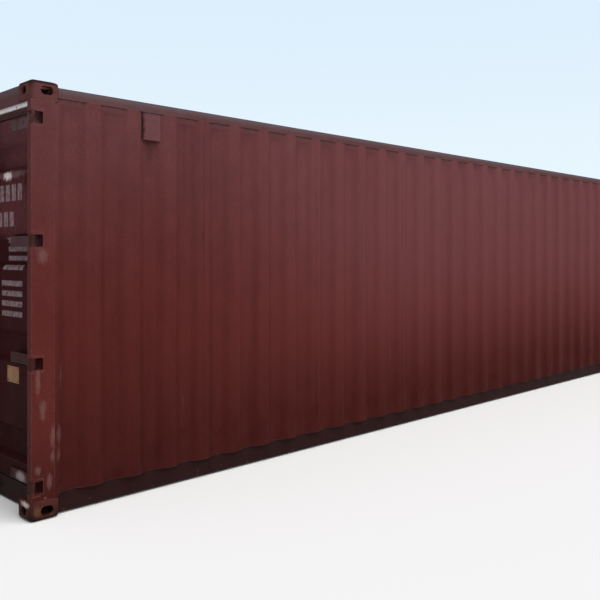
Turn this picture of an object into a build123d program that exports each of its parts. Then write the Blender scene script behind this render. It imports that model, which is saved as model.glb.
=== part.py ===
# Forty-foot dry freight container with two hinged cargo doors.
# Origin under the middle of the base, +X along the length away from the doors, +Z up, millimetres.
# Left and right are those of someone who stands outside and faces the doors: right is -Y.
import os

from build123d import *

# Overall size of the container
length = 12192.0
width = 2438.0
height = 2591.0

# Corner castings and their apertures
casting_length = 178.0
casting_width = 162.0
casting_height = 118.0
casting_plate = 28.0
casting_side = 14.0
casting_back = 12.0
casting_round = 12.0
aperture_from_end = 103.5
aperture_from_side = 89.5
twistlock_length = 124.0
twistlock_width = 63.5
side_aperture_length = 79.5
end_aperture_length = 63.5
side_aperture_height = 51.0

# Corner posts
post_set_back = 4.0
rear_post_depth = 148.0
rear_post_width = 48.0
front_post_depth = 116.0
front_post_width = 80.0
post_wall = 6.0
stop_width = 22.0
stop_thickness = 6.0

# Rails, sills and headers
rail_set_back = 6.0
top_rail_size = 60.0
top_rail_wall = 3.0
roof_clearance = 32.0
header_clearance = 20.0
base_clearance = 16.0
bottom_rail_height = 162.0
bottom_rail_flange = 48.0
bottom_rail_wall = 4.5
door_end_depth = 98.0
end_rail_wall = 6.0
sill_top = 150.0
header_height = 141.0
fascia_set_back = 8.0
fascia_wall = 4.0
fascia_lift = 5.0
recess_gap = 12.0
drip_reach = 6.0
drip_height = 16.0

# Corrugated side walls
wall_sheet = 2.0
side_corrugation = 36.0
side_valley_flat = 70.0
side_slope = 68.0
side_end_margin = 270.0
side_valleys = 42
wall_lift = 20.0

# Corrugated front wall
front_corrugation = 45.0
front_valley_flat = 110.0
front_slope = 18.0
front_end_margin = 264.0
front_valleys = 8

# Die-stamped roof
roof_sheet = 2.0
roof_rib_height = 20.0
roof_rib_width = 120.0
roof_rib_pitch = 209.0
roof_rib_margin = 60.0
roof_rib_taper = 45.0
corner_plate_length = 300.0
corner_plate_width = 270.0
corner_plate_thickness = 3.0

# Floor and base
floor_thickness = 28.0
floor_edge_gap = 1.0
floor_bar_width = 70.0
cross_member_height = 116.5
cross_member_flange = 45.0
cross_member_wall = 4.0
cross_member_pitch = 300.0
tunnel_length = 3150.0
tunnel_width = 1029.0
tunnel_height = 120.0
tunnel_plate = 10.0
tunnel_web = 6.0

# Ventilators
vent_valley = 2
vent_height = 180.0
vent_front_width = 140.0
vent_back_width = 66.0
vent_reach = 28.0
vent_wall = 3.0
seat_gap = 0.3

# Hinges
hinge_count = 4
hinge_bottom_margin = 203.0
hinge_top_margin = 222.0
pin_set_back = 20.0
pin_diameter = 20.0
pin_fit = 0.3
pin_head_diameter = 26.0
pin_head_height = 5.0
lug_thickness = 14.0
lug_depth = 74.0
lug_corner = 16.0
knuckle_diameter = 34.0
knuckle_height = 70.0
knuckle_play = 1.0
blade_thickness = 12.0
blade_height = 62.0
blade_offset = 40.0
strap_length = 385.0

# Door leaves
leaf_face = 90.0
leaf_thickness = 50.0
leaf_gap = 13.0
leaf_centre_gap = 36.0
stile_width = 100.0
leaf_rail_height = 110.0
door_sheet = 2.0
door_swage_depth = 36.0
door_swage_flat = 140.0
door_swage_slope = 35.0
door_swage_margin = 227.0
door_swages = 4
gasket_reach = 8.0
gasket_set_back = 10.0
gasket_depth = 34.0

# Locking gear
bar_diameter = 34.0
bar_from_side = 741.0
bar_spacing = 330.0
bar_set_back = 67.0
bar_fit = 0.3
bar_end = 44.0
cam_width = 60.0
cam_reach = 20.0
cam_height = 40.0
cam_nose = 24.0
keeper_gap = 12.0
keeper_thickness = 14.0
keeper_height = 56.0
keeper_reach = 46.0
guide_width = 56.0
guide_height = 36.0
guide_front = 20.0
guide_plate_width = 110.0
guide_plate_height = 60.0
guide_plate_thickness = 5.0
handle_length = 255.0
handle_height = 30.0
handle_thickness = 11.0
handle_front = 47.0
handle_hub_height = 60.0
handle_hub_width = 54.0
handle_spacing = 200.0
catch_length = 60.0
catch_height = 80.0
catch_from_end = 30.0

# Planes that several pieces share
rear = -length / 2
front = length / 2
right = -width / 2
post_bottom = casting_height
post_top = height - casting_height
roof_top = height - roof_clearance
top_rail_bottom = roof_top - top_rail_size
header_top = height - header_clearance
header_bottom = header_top - header_height
wall_plane = right + rail_set_back
wall_inside = wall_plane + side_corrugation + wall_sheet
floor_bottom = base_clearance + bottom_rail_wall + cross_member_height
floor_top = floor_bottom + floor_thickness
rear_post_inside = rear + post_set_back + rear_post_depth
front_post_inside = front - post_set_back - front_post_depth
front_rail_inside = front - rail_set_back - top_rail_size
leaf_bottom = sill_top + leaf_gap
leaf_top = header_bottom - leaf_gap
leaf_outer = right + rear_post_width + leaf_gap
leaf_inner = -leaf_centre_gap / 2
leaf_middle = (leaf_bottom + leaf_top) / 2
face_x = rear + leaf_face
pin_x = rear + pin_set_back
pin_y = right + pin_set_back
hinge_pitch = (height - hinge_bottom_margin - hinge_top_margin) / (hinge_count - 1)
hinge_levels = [hinge_bottom_margin + hinge_pitch * index for index in range(hinge_count)]
bar_x = rear + bar_set_back
bar_places = [right + bar_from_side, right + bar_from_side + bar_spacing]
corner = (Align.MIN, Align.MIN, Align.MIN)

os.makedirs("parts", exist_ok=True)


def block(x_range, y_range, z_range, mode=Mode.ADD):
    """Add or cut a box that spans the given ranges in the part being built."""
    with Locations((x_range[0], y_range[0], z_range[0])):
        Box(
            x_range[1] - x_range[0],
            y_range[1] - y_range[0],
            z_range[1] - z_range[0],
            align=corner,
            mode=mode,
        )


def across(y_level):
    """Sketch plane at one Y, with X to the right and Z up, that extrudes towards -Y."""
    return Plane.XZ.offset(-y_level)


def corrugation(start, end, centres, half_flat, slope, depth):
    """Corners of a trapezoidal sheet line: distance along the sheet and distance behind its face."""
    line = [(start, 0)]
    for centre in centres:
        line.append((centre - half_flat - slope, 0))
        line.append((centre - half_flat, depth))
        line.append((centre + half_flat, depth))
        line.append((centre + half_flat + slope, 0))
    line.append((end, 0))
    return line


def both_faces(line, thickness):
    """Closed outline of a folded sheet: its outer line, then the same line one thickness behind."""
    return line + [(along, behind + thickness) for along, behind in reversed(line)]


def cut_castings():
    """Cut the room of all eight corner castings out of the part being built."""
    for x_start in (rear, front - casting_length):
        for y_start in (right, -right - casting_width):
            for z_start in (0, height - casting_height):
                block(
                    (x_start, x_start + casting_length),
                    (y_start, y_start + casting_width),
                    (z_start, z_start + casting_height),
                    mode=Mode.SUBTRACT,
                )


def finish(piece, name):
    """Label one finished piece and write it."""
    piece.part.label = name
    export_step(piece.part, "parts/" + name + ".step")


# Corner castings: hollow steel boxes with one aperture down, one to the side and one to the end
with BuildPart() as bottom_corner_castings:
    block((rear, rear + casting_length), (right, right + casting_width), (0, casting_height))
    fillet(bottom_corner_castings.edges().filter_by(Axis.Z), casting_round)
    fillet(bottom_corner_castings.faces().sort_by(Axis.Z)[0].edges(), casting_round)
    block(
        (rear + casting_side, rear + casting_length - casting_back),
        (right + casting_side, right + casting_width - casting_back),
        (casting_plate, casting_height - casting_side),
        mode=Mode.SUBTRACT,
    )
    with BuildSketch(Plane.XY):
        with Locations((rear + aperture_from_end, right + aperture_from_side)):
            SlotOverall(twistlock_length, twistlock_width)
    extrude(amount=casting_plate, mode=Mode.SUBTRACT)
    with BuildSketch(across(right)):
        with Locations((rear + aperture_from_end, casting_height / 2)):
            SlotOverall(side_aperture_length, side_aperture_height)
    extrude(amount=-casting_side, mode=Mode.SUBTRACT)
    with BuildSketch(Plane.YZ.offset(rear)):
        with Locations((right + aperture_from_side, casting_height / 2)):
            SlotOverall(end_aperture_length, side_aperture_height)
    extrude(amount=casting_side, mode=Mode.SUBTRACT)
    mirror(about=Plane.XZ)
    mirror(about=Plane.YZ)

with BuildPart() as top_corner_castings:
    mirror(bottom_corner_castings.part, about=Plane.XY.offset(height / 2))

finish(bottom_corner_castings, "bottom_corner_castings")
finish(top_corner_castings, "top_corner_castings")

# Rear posts: hollow, with a door stop flange inside and a pocket for each hinge
lug_reach = knuckle_height / 2 + knuckle_play + lug_thickness
with BuildPart() as right_rear_post:
    with BuildSketch(Plane.XY.offset(post_bottom)):
        with Locations((rear + post_set_back, right)):
            Rectangle(rear_post_depth, rear_post_width, align=(Align.MIN, Align.MIN))
        with Locations((rear + post_set_back + post_wall, right + post_wall)):
            Rectangle(
                rear_post_depth - 2 * post_wall,
                rear_post_width - 2 * post_wall,
                align=(Align.MIN, Align.MIN),
                mode=Mode.SUBTRACT,
            )
        with Locations((rear_post_inside, right + rear_post_width)):
            Rectangle(stop_thickness, stop_width, align=(Align.MAX, Align.MIN))
    extrude(amount=post_top - post_bottom)
    for level in hinge_levels:
        block(
            (rear + post_set_back, rear + post_set_back + lug_depth),
            (right, right + rear_post_width),
            (level - lug_reach, level + lug_reach),
            mode=Mode.SUBTRACT,
        )
    block(
        (rear_post_inside - stop_thickness, rear_post_inside),
        (right + rear_post_width, right + rear_post_width + stop_width),
        (post_bottom, sill_top),
        mode=Mode.SUBTRACT,
    )
    block(
        (rear_post_inside - stop_thickness, rear_post_inside),
        (right + rear_post_width, right + rear_post_width + stop_width),
        (header_bottom, post_top),
        mode=Mode.SUBTRACT,
    )

with BuildPart() as left_rear_post:
    mirror(right_rear_post.part, about=Plane.XZ)

finish(right_rear_post, "right_rear_post")
finish(left_rear_post, "left_rear_post")

# Front posts: closed hollow sections on the front castings
with BuildPart() as right_front_post:
    with BuildSketch(Plane.XY.offset(post_bottom)):
        with Locations((front_post_inside, right)):
            Rectangle(front_post_depth, front_post_width, align=(Align.MIN, Align.MIN))
        with Locations((front_post_inside + post_wall, right + post_wall)):
            Rectangle(
                front_post_depth - 2 * post_wall,
                front_post_width - 2 * post_wall,
                align=(Align.MIN, Align.MIN),
                mode=Mode.SUBTRACT,
            )
    extrude(amount=post_top - post_bottom)

with BuildPart() as left_front_post:
    mirror(right_front_post.part, about=Plane.XZ)

finish(right_front_post, "right_front_post")
finish(left_front_post, "left_front_post")

# Bottom side rails: a tall web behind the wall sheet and a flange that carries the cross members
rail_start = rear + casting_length
rail_end = front - casting_length
with BuildPart() as right_bottom_rail:
    with BuildSketch(Plane.YZ.offset(rail_start)):
        with Locations((wall_inside, base_clearance)):
            Rectangle(bottom_rail_wall, bottom_rail_height, align=(Align.MIN, Align.MIN))
            Rectangle(bottom_rail_flange, bottom_rail_wall, align=(Align.MIN, Align.MIN))
    extrude(amount=rail_end - rail_start)

with BuildPart() as left_bottom_rail:
    mirror(right_bottom_rail.part, about=Plane.XZ)

finish(right_bottom_rail, "right_bottom_rail")
finish(left_bottom_rail, "left_bottom_rail")

# Top side rails: square tube flush with the crests of the side wall
with BuildPart() as right_top_rail:
    with BuildSketch(Plane.YZ.offset(rail_start)):
        with Locations((wall_plane + top_rail_size / 2, roof_top - top_rail_size / 2)):
            Rectangle(top_rail_size, top_rail_size)
            Rectangle(
                top_rail_size - 2 * top_rail_wall,
                top_rail_size - 2 * top_rail_wall,
                mode=Mode.SUBTRACT,
            )
    extrude(amount=rail_end - rail_start)

with BuildPart() as left_top_rail:
    mirror(right_top_rail.part, about=Plane.XZ)

finish(right_top_rail, "right_top_rail")
finish(left_top_rail, "left_top_rail")


def end_rail(x_range, z_range, y_half):
    """Hollow rail across the container, notched round the corner castings."""
    with BuildPart() as rail:
        with BuildSketch(across(y_half)):
            with Locations(((x_range[0] + x_range[1]) / 2, (z_range[0] + z_range[1]) / 2)):
                Rectangle(x_range[1] - x_range[0], z_range[1] - z_range[0])
                Rectangle(
                    x_range[1] - x_range[0] - 2 * end_rail_wall,
                    z_range[1] - z_range[0] - 2 * end_rail_wall,
                    mode=Mode.SUBTRACT,
                )
        extrude(amount=2 * y_half)
        cut_castings()
    return rail


door_rail_x = (rear + door_end_depth, rear + casting_length)
front_rail_x = (front_rail_inside, front - rail_set_back)
door_opening_half = -right - rear_post_width
front_opening_half = -right - front_post_width

door_sill = end_rail(door_rail_x, (base_clearance, sill_top), door_opening_half)
plain_door_header = end_rail(door_rail_x, (header_bottom, header_top), door_opening_half)
front_header = end_rail(front_rail_x, (top_rail_bottom, roof_top), front_opening_half)
plain_front_sill = end_rail(front_rail_x, (base_clearance, sill_top), front_opening_half)

with BuildPart() as front_sill:
    add(plain_front_sill.part)
    block(front_rail_x, (-tunnel_width / 2, tunnel_width / 2), (0, tunnel_height), mode=Mode.SUBTRACT)

# Door header: a hollow rail behind a fascia, which has a recess for each locking cam
fascia_x = (rear + fascia_set_back, door_rail_x[0])
fascia_z = (header_bottom + fascia_lift, header_top)
recess_half = cam_width / 2 + keeper_gap + keeper_thickness + recess_gap
recess_places = bar_places + [-place for place in bar_places]
with BuildPart() as door_header:
    block(fascia_x, (-door_opening_half, door_opening_half), fascia_z)
    block(
        (fascia_x[0] + fascia_wall, fascia_x[1]),
        (fascia_wall - door_opening_half, door_opening_half - fascia_wall),
        (fascia_z[0] + fascia_wall, fascia_z[1] - fascia_wall),
        mode=Mode.SUBTRACT,
    )
    for half, mode in ((recess_half + fascia_wall, Mode.ADD), (recess_half, Mode.SUBTRACT)):
        for place in recess_places:
            block(fascia_x, (place - half, place + half), (fascia_z[0], fascia_z[1] - fascia_wall), mode=mode)
    cut_castings()
    add(plain_door_header.part)

finish(door_sill, "door_sill")
finish(door_header, "door_header")
finish(front_sill, "front_sill")
finish(front_header, "front_header")

# Drip rail: a strip along the lower edge of the fascia, parted at each recess
with BuildPart() as drip_rail:
    with BuildSketch(across(door_opening_half)):
        with BuildLine():
            Polyline(
                (fascia_x[0], fascia_z[0]),
                (fascia_x[0], fascia_z[0] + drip_height),
                (fascia_x[0] - drip_reach, fascia_z[0] + drip_height - drip_reach / 2),
                (fascia_x[0] - drip_reach, fascia_z[0]),
                close=True,
            )
        make_face()
    extrude(amount=2 * door_opening_half)
    for place in recess_places:
        block(
            (fascia_x[0] - drip_reach, fascia_x[0]),
            (place - recess_half, place + recess_half),
            fascia_z,
            mode=Mode.SUBTRACT,
        )

finish(drip_rail, "drip_rail")

# Side walls: trapezoidal sheet with upright corrugations, alike from both ends
side_pitch = (length - 2 * side_end_margin) / (side_valleys - 1)
valley_places = [rear + side_end_margin + side_pitch * index for index in range(side_valleys)]
with BuildPart() as right_side_wall:
    side_line = corrugation(
        rear_post_inside,
        front_post_inside,
        valley_places,
        side_valley_flat / 2,
        side_slope,
        side_corrugation,
    )
    with BuildSketch(Plane.XY.offset(post_bottom)):
        with BuildLine():
            Polyline(
                [(along, wall_plane + behind) for along, behind in both_faces(side_line, wall_sheet)],
                close=True,
            )
        make_face()
    extrude(amount=top_rail_bottom - post_bottom)
    cut_castings()
    block(
        (rail_start, rail_end),
        (wall_plane, wall_inside),
        (post_bottom, post_bottom + wall_lift),
        mode=Mode.SUBTRACT,
    )

with BuildPart() as left_side_wall:
    mirror(right_side_wall.part, about=Plane.XZ)

finish(right_side_wall, "right_side_wall")
finish(left_side_wall, "left_side_wall")

# Front wall: deeper corrugations between the front posts
with BuildPart() as front_wall:
    front_plane = front - rail_set_back
    front_pitch = 2 * (front_opening_half - front_end_margin) / (front_valleys - 1)
    front_places = [front_pitch * (index - (front_valleys - 1) / 2) for index in range(front_valleys)]
    front_line = corrugation(
        -front_opening_half,
        front_opening_half,
        front_places,
        front_valley_flat / 2,
        front_slope,
        front_corrugation,
    )
    with BuildSketch(Plane.XY.offset(sill_top)):
        with BuildLine():
            Polyline(
                [(front_plane - behind, along) for along, behind in both_faces(front_line, wall_sheet)],
                close=True,
            )
        make_face()
    extrude(amount=top_rail_bottom - sill_top)
    cut_castings()

finish(front_wall, "front_wall")

# Roof: one sheet between the rails with transverse ribs pressed up out of it
roof_base = roof_top - roof_rib_height - roof_sheet
roof_start = rear + casting_length
roof_half = -wall_plane - top_rail_size
rib_first = roof_start + corner_plate_length + roof_rib_width
rib_last = front - casting_length - corner_plate_length - roof_rib_width
rib_count = int((rib_last - rib_first) / roof_rib_pitch) + 1
rib_middle = (rib_first + rib_last) / 2
rib_length = 2 * (roof_half - roof_rib_margin)
with BuildPart() as roof_panel:
    block((roof_start, front_rail_inside), (-roof_half, roof_half), (roof_base, roof_base + roof_sheet))
    with BuildSketch(Plane.XY.offset(roof_base + roof_sheet)):
        with Locations((rib_middle, 0)):
            with GridLocations(roof_rib_pitch, 0, rib_count, 1):
                Rectangle(roof_rib_width, rib_length)
    extrude(amount=roof_rib_height, taper=roof_rib_taper)
    with BuildSketch(Plane.XY.offset(roof_base)):
        with Locations((rib_middle, 0)):
            with GridLocations(roof_rib_pitch, 0, rib_count, 1):
                Rectangle(roof_rib_width, rib_length)
    extrude(amount=roof_rib_height, taper=roof_rib_taper, mode=Mode.SUBTRACT)
    cut_castings()

finish(roof_panel, "roof_panel")

# Roof corner plates: doubler plates beside each top casting
with BuildPart() as roof_corner_plates:
    block(
        (roof_start, roof_start + corner_plate_length),
        (-roof_half, corner_plate_width - roof_half),
        (roof_base + roof_sheet, roof_base + roof_sheet + corner_plate_thickness),
    )
    mirror(about=Plane.XZ)
    mirror(about=Plane.YZ)

finish(roof_corner_plates, "roof_corner_plates")

# Floor: two runs of plywood with a steel bar between them
floor_x = (rear + casting_length, front_rail_inside)
floor_half = -wall_inside - bottom_rail_wall - floor_edge_gap
with BuildPart() as floor_boards:
    block(floor_x, (-floor_half, -floor_bar_width / 2), (floor_bottom, floor_top))
    block(
        (front_post_inside - floor_edge_gap, front),
        (right, right + front_post_width + floor_edge_gap),
        (floor_bottom, floor_top),
        mode=Mode.SUBTRACT,
    )
    mirror(about=Plane.XZ)

with BuildPart() as floor_centre_rail:
    block(floor_x, (-floor_bar_width / 2, floor_bar_width / 2), (floor_bottom, floor_top))

finish(floor_boards, "floor_boards")
finish(floor_centre_rail, "floor_centre_rail")


def channel(place):
    """Corners of an upright channel section at one place along the base."""
    member_bottom = floor_bottom - cross_member_height
    return [
        (place, floor_bottom),
        (place + cross_member_flange, floor_bottom),
        (place + cross_member_flange, floor_bottom - cross_member_wall),
        (place + cross_member_wall, floor_bottom - cross_member_wall),
        (place + cross_member_wall, member_bottom + cross_member_wall),
        (place + cross_member_flange, member_bottom + cross_member_wall),
        (place + cross_member_flange, member_bottom),
        (place, member_bottom),
    ]


# Cross members: channels between the bottom rails, cut short beside the tunnel
tunnel_start = front_rail_inside - tunnel_length
tunnel_outside = tunnel_width / 2 + tunnel_web
member_half = -wall_inside - bottom_rail_wall
member_first = rail_start + cross_member_pitch / 2
member_last = rail_end - cross_member_pitch / 2
member_count = int((member_last - member_first) / cross_member_pitch) + 1
member_places = [member_first + cross_member_pitch * index for index in range(member_count)]
full_places = [place for place in member_places if place + cross_member_flange < tunnel_start]
short_places = [place for place in member_places if place > tunnel_start]
with BuildPart() as cross_members:
    with BuildSketch(across(member_half)):
        for place in short_places:
            with BuildLine():
                Polyline(channel(place), close=True)
            make_face()
    extrude(amount=member_half - tunnel_outside)
    mirror(about=Plane.XZ)
    with BuildSketch(across(member_half)):
        for place in full_places:
            with BuildLine():
                Polyline(channel(place), close=True)
            make_face()
    extrude(amount=2 * member_half)

finish(cross_members, "cross_members")

# Gooseneck tunnel: a plate under the floor at the front, on a beam along either side
tunnel_x = (tunnel_start, front_rail_inside)
with BuildPart() as tunnel_roof:
    block(tunnel_x, (-tunnel_outside, tunnel_outside), (floor_bottom - tunnel_plate, floor_bottom))

with BuildPart() as tunnel_beams:
    block(tunnel_x, (-tunnel_outside, -tunnel_width / 2), (base_clearance, floor_bottom - tunnel_plate))
    mirror(about=Plane.XZ)

finish(tunnel_roof, "tunnel_roof")
finish(tunnel_beams, "tunnel_beams")

# Ventilators: a hood, open below, in one valley of each wall, at opposite ends
with BuildPart() as ventilators:
    vent_x = valley_places[vent_valley]
    vent_back = wall_plane + side_corrugation - seat_gap
    vent_top = top_rail_bottom - seat_gap
    with BuildSketch(Plane.XY.offset(vent_top - vent_height)):
        with BuildLine():
            Polyline(
                (vent_x - vent_back_width / 2, vent_back),
                (vent_x - vent_front_width / 2, vent_back - vent_reach),
                (vent_x + vent_front_width / 2, vent_back - vent_reach),
                (vent_x + vent_back_width / 2, vent_back),
                close=True,
            )
        make_face()
    extrude(amount=vent_height)
    block(
        (vent_x - vent_back_width / 2, vent_x + vent_back_width / 2),
        (vent_back - vent_reach + vent_wall, vent_back - vent_wall),
        (vent_top - vent_height, vent_top - vent_wall),
        mode=Mode.SUBTRACT,
    )
    left_vent = ventilators.part.rotate(Axis.Z, 180)
    add(left_vent)

finish(ventilators, "ventilators")

# Hinge lugs: a plate above and below each knuckle, rounded about the pin
with BuildPart() as hinge_lugs:
    for level in hinge_levels:
        for lug_bottom in (level - lug_reach, level + lug_reach - lug_thickness):
            with BuildSketch(Plane.XY.offset(lug_bottom)) as lug:
                with Locations((rear + post_set_back, right)):
                    Rectangle(lug_depth, rear_post_width, align=(Align.MIN, Align.MIN))
                fillet(lug.vertices().group_by(Axis.X)[0].sort_by(Axis.Y)[0], lug_corner)
                with Locations((pin_x, pin_y)):
                    Circle(pin_diameter / 2 + pin_fit, mode=Mode.SUBTRACT)
            extrude(amount=lug_thickness)
        with Locations((pin_x, pin_y, level + lug_reach)):
            Cylinder(
                pin_head_diameter / 2 + pin_fit,
                pin_head_height + pin_fit,
                align=(Align.CENTER, Align.CENTER, Align.MAX),
                mode=Mode.SUBTRACT,
            )
    mirror(about=Plane.XZ)

finish(hinge_lugs, "hinge_lugs")

# Hinge pins: each head lies in the counterbore of its upper lug
with BuildPart() as hinge_pins:
    for level in hinge_levels:
        with Locations((pin_x, pin_y, level - lug_reach + pin_fit)):
            Cylinder(
                pin_diameter / 2,
                2 * (lug_reach - pin_fit),
                align=(Align.CENTER, Align.CENTER, Align.MIN),
            )
        with Locations((pin_x, pin_y, level + lug_reach - pin_fit)):
            Cylinder(
                pin_head_diameter / 2,
                pin_head_height,
                align=(Align.CENTER, Align.CENTER, Align.MAX),
            )
    mirror(about=Plane.XZ)

finish(hinge_pins, "hinge_pins")

# Hinge blades: a knuckle on the pin, a cranked arm round the post and a strap on the leaf
with BuildPart() as right_hinge_blades:
    arm_inside = pin_y + blade_offset - blade_thickness / 2
    arm_front = pin_x - blade_thickness / 2
    for level in hinge_levels:
        with BuildSketch(Plane.XY.offset(level - blade_height / 2)):
            with BuildLine():
                Polyline(
                    (arm_front, pin_y),
                    (arm_front, arm_inside + blade_thickness),
                    (face_x - blade_thickness, arm_inside + blade_thickness),
                    (face_x - blade_thickness, arm_inside + strap_length),
                    (face_x, arm_inside + strap_length),
                    (face_x, arm_inside),
                    (arm_front + blade_thickness, arm_inside),
                    (arm_front + blade_thickness, pin_y),
                    close=True,
                )
            make_face()
        extrude(amount=blade_height)
        with Locations((pin_x, pin_y, level)):
            Cylinder(knuckle_diameter / 2, knuckle_height)
            Cylinder(pin_diameter / 2 + pin_fit, knuckle_height, mode=Mode.SUBTRACT)

with BuildPart() as left_hinge_blades:
    mirror(right_hinge_blades.part, about=Plane.XZ)

finish(right_hinge_blades, "right_hinge_blades")
finish(left_hinge_blades, "left_hinge_blades")

# Door frames: stiles and rails welded into one flat ring
leaf_width = leaf_inner - leaf_outer
leaf_height = leaf_top - leaf_bottom
leaf_centre = ((leaf_outer + leaf_inner) / 2, leaf_middle)
with BuildPart() as right_door_frame:
    with BuildSketch(Plane.YZ.offset(face_x)):
        with Locations(leaf_centre):
            Rectangle(leaf_width, leaf_height)
            Rectangle(
                leaf_width - 2 * stile_width,
                leaf_height - 2 * leaf_rail_height,
                mode=Mode.SUBTRACT,
            )
    extrude(amount=leaf_thickness)

with BuildPart() as left_door_frame:
    mirror(right_door_frame.part, about=Plane.XZ)

finish(right_door_frame, "right_door_frame")
finish(left_door_frame, "left_door_frame")

# Door panels: sheet with broad swages across it, pressed in from the outside
with BuildPart() as right_door_panel:
    swage_pitch = (leaf_height - 2 * door_swage_margin) / (door_swages - 1)
    swage_levels = [leaf_bottom + door_swage_margin + swage_pitch * index for index in range(door_swages)]
    panel_line = corrugation(
        leaf_bottom + leaf_rail_height,
        leaf_top - leaf_rail_height,
        swage_levels,
        door_swage_flat / 2,
        door_swage_slope,
        door_swage_depth,
    )
    with BuildSketch(across(leaf_inner - stile_width)):
        with BuildLine():
            Polyline(
                [(face_x + behind, along) for along, behind in both_faces(panel_line, door_sheet)],
                close=True,
            )
        make_face()
    extrude(amount=leaf_width - 2 * stile_width)

with BuildPart() as left_door_panel:
    mirror(right_door_panel.part, about=Plane.XZ)

finish(right_door_panel, "right_door_panel")
finish(left_door_panel, "left_door_panel")

# Door gaskets: a rubber band round the edge of each leaf
with BuildPart() as right_door_gasket:
    with BuildSketch(Plane.YZ.offset(face_x + gasket_set_back)):
        with Locations(leaf_centre):
            Rectangle(leaf_width + 2 * gasket_reach, leaf_height + 2 * gasket_reach)
            Rectangle(leaf_width, leaf_height, mode=Mode.SUBTRACT)
    extrude(amount=gasket_depth)

with BuildPart() as left_door_gasket:
    mirror(right_door_gasket.part, about=Plane.XZ)

finish(right_door_gasket, "right_door_gasket")
finish(left_door_gasket, "left_door_gasket")

# Locking bars: tubes over the full height with a cam at either end
cam_levels = (bar_end, height - bar_end - cam_height)
with BuildPart() as right_locking_bars:
    for place in bar_places:
        with Locations((bar_x, place, bar_end)):
            Cylinder(
                bar_diameter / 2,
                height - 2 * bar_end,
                align=(Align.CENTER, Align.CENTER, Align.MIN),
            )
        for level in cam_levels:
            with BuildSketch(Plane.XY.offset(level)):
                with BuildLine():
                    Polyline(
                        (bar_x - cam_reach, place - cam_nose / 2),
                        (bar_x - cam_reach, place + cam_nose / 2),
                        (bar_x, place + cam_width / 2),
                        (bar_x + cam_reach, place + cam_nose / 2),
                        (bar_x + cam_reach, place - cam_nose / 2),
                        (bar_x, place - cam_width / 2),
                        close=True,
                    )
                make_face()
            extrude(amount=cam_height)

with BuildPart() as left_locking_bars:
    mirror(right_locking_bars.part, about=Plane.XZ)

finish(right_locking_bars, "right_locking_bars")
finish(left_locking_bars, "left_locking_bars")

# Cam keepers: a pair of cheeks beside each cam on the sill and the header
with BuildPart() as cam_keepers:
    keeper_inside = cam_width / 2 + keeper_gap
    for place in bar_places:
        for level in cam_levels:
            keeper_bottom = level + (cam_height - keeper_height) / 2
            for cheek in (place - keeper_inside - keeper_thickness, place + keeper_inside):
                block(
                    (door_rail_x[0] - keeper_reach, door_rail_x[0]),
                    (cheek, cheek + keeper_thickness),
                    (keeper_bottom, keeper_bottom + keeper_height),
                )
    mirror(about=Plane.XZ)

finish(cam_keepers, "cam_keepers")

# Bar guides: a plate on the leaf and a bearing block round the bar
with BuildPart() as right_bar_guides:
    swage_flats = [(low + high) / 2 for low, high in zip(swage_levels, swage_levels[1:])]
    guide_levels = [
        leaf_bottom + leaf_rail_height / 2,
        swage_flats[0],
        swage_flats[-1],
        leaf_top - leaf_rail_height / 2,
    ]
    for place in bar_places:
        for level in guide_levels:
            block(
                (face_x - guide_plate_thickness, face_x),
                (place - guide_plate_width / 2, place + guide_plate_width / 2),
                (level - guide_plate_height / 2, level + guide_plate_height / 2),
            )
            block(
                (bar_x - guide_front, face_x - guide_plate_thickness),
                (place - guide_width / 2, place + guide_width / 2),
                (level - guide_height / 2, level + guide_height / 2),
            )
            with Locations((bar_x, place, level)):
                Cylinder(bar_diameter / 2 + bar_fit, guide_plate_height, mode=Mode.SUBTRACT)

with BuildPart() as left_bar_guides:
    mirror(right_bar_guides.part, about=Plane.XZ)

finish(right_bar_guides, "right_bar_guides")
finish(left_bar_guides, "left_bar_guides")

# Door handles: a hub clamped on each bar and a flat lever that points to the other bar
handle_signs = (1, -1)
handle_levels = (leaf_middle - handle_spacing / 2, leaf_middle + handle_spacing / 2)
with BuildPart() as right_door_handles:
    for index, place in enumerate(bar_places):
        level = handle_levels[index]
        reach = handle_signs[index] * handle_length
        block(
            (rear + handle_front, bar_x + bar_diameter / 2),
            (place - handle_hub_width / 2, place + handle_hub_width / 2),
            (level - handle_hub_height / 2, level + handle_hub_height / 2),
        )
        block(
            (rear + handle_front, rear + handle_front + handle_thickness),
            (min(place, place + reach), max(place, place + reach)),
            (level - handle_height / 2, level + handle_height / 2),
        )
        with Locations((bar_x, place, level)):
            Cylinder(bar_diameter / 2 + bar_fit, handle_hub_height, mode=Mode.SUBTRACT)

with BuildPart() as left_door_handles:
    mirror(right_door_handles.part, about=Plane.XZ)

finish(right_door_handles, "right_door_handles")
finish(left_door_handles, "left_door_handles")

# Handle catches: a block on the leaf under the end of each lever
with BuildPart() as right_handle_catches:
    for index, place in enumerate(bar_places):
        level = handle_levels[index]
        catch_middle = place + handle_signs[index] * (handle_length - catch_from_end - catch_length / 2)
        block(
            (rear + handle_front + handle_thickness, face_x),
            (catch_middle - catch_length / 2, catch_middle + catch_length / 2),
            (level - catch_height / 2, level + catch_height / 2),
        )

with BuildPart() as left_handle_catches:
    mirror(right_handle_catches.part, about=Plane.XZ)

finish(right_handle_catches, "right_handle_catches")
finish(left_handle_catches, "left_handle_catches")
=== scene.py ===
import math

import bpy
from mathutils import Matrix, Vector


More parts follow.
